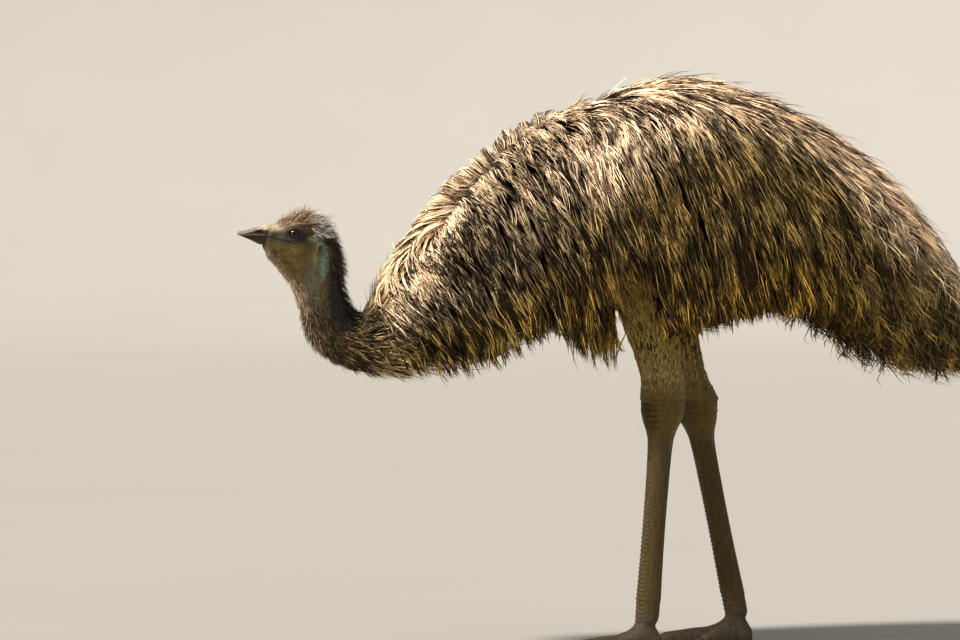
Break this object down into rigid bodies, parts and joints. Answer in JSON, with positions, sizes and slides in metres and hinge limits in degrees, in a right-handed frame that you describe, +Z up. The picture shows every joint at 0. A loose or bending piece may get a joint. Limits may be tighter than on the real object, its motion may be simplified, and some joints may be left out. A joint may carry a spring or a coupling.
{
  "type": "emu",
  "caption": "Life-size still model of an emu standing on two feet, with its neck stretched forward and low and its head held up.",
  "frame": {"origin": "on the floor, under the middle of the whole bird", "axes": "+Z up; the bird faces -Y, so its tail points to +Y; its left side is +X"},
  "size_m": [0.472, 1.3758, 1.04],
  "materials": {
    "feathers": "long loose feathers, buff tips over dark brown",
    "neck_hair": "short dark hair-like feathers over thin skin",
    "face": "bare skin under sparse hair-like feathers",
    "eye": "wet dark brown eye",
    "bill_horn": "dark horn with a soft sheen",
    "leg_feathers": "short buff feathers with dark flecks",
    "leg_scales": "dry grey-brown scaly skin",
    "claw_horn": "dark worn horn"
  },
  "bodies": {
    "root": {"trunk": "feathers", "tail": "feathers", "wing_left": "feathers", "wing_right": "feathers", "neck_lower": "feathers", "neck_upper": "neck_hair", "head": "face", "ear_left": "face", "ear_right": "face", "eye_left": "eye", "eye_right": "eye", "bill_upper": "bill_horn", "bill_lower": "bill_horn", "drumstick_left": "leg_feathers", "drumstick_right": "leg_feathers", "shank_left": "leg_scales", "shank_right": "leg_scales", "toe_middle_left": "leg_scales", "toe_inner_left": "leg_scales", "toe_outer_left": "leg_scales", "toe_middle_right": "leg_scales", "toe_inner_right": "leg_scales", "toe_outer_right": "leg_scales", "claw_middle_left": "claw_horn", "claw_inner_left": "claw_horn", "claw_outer_left": "claw_horn", "claw_middle_right": "claw_horn", "claw_inner_right": "claw_horn", "claw_outer_right": "claw_horn"}
  },
  "joints": []
}
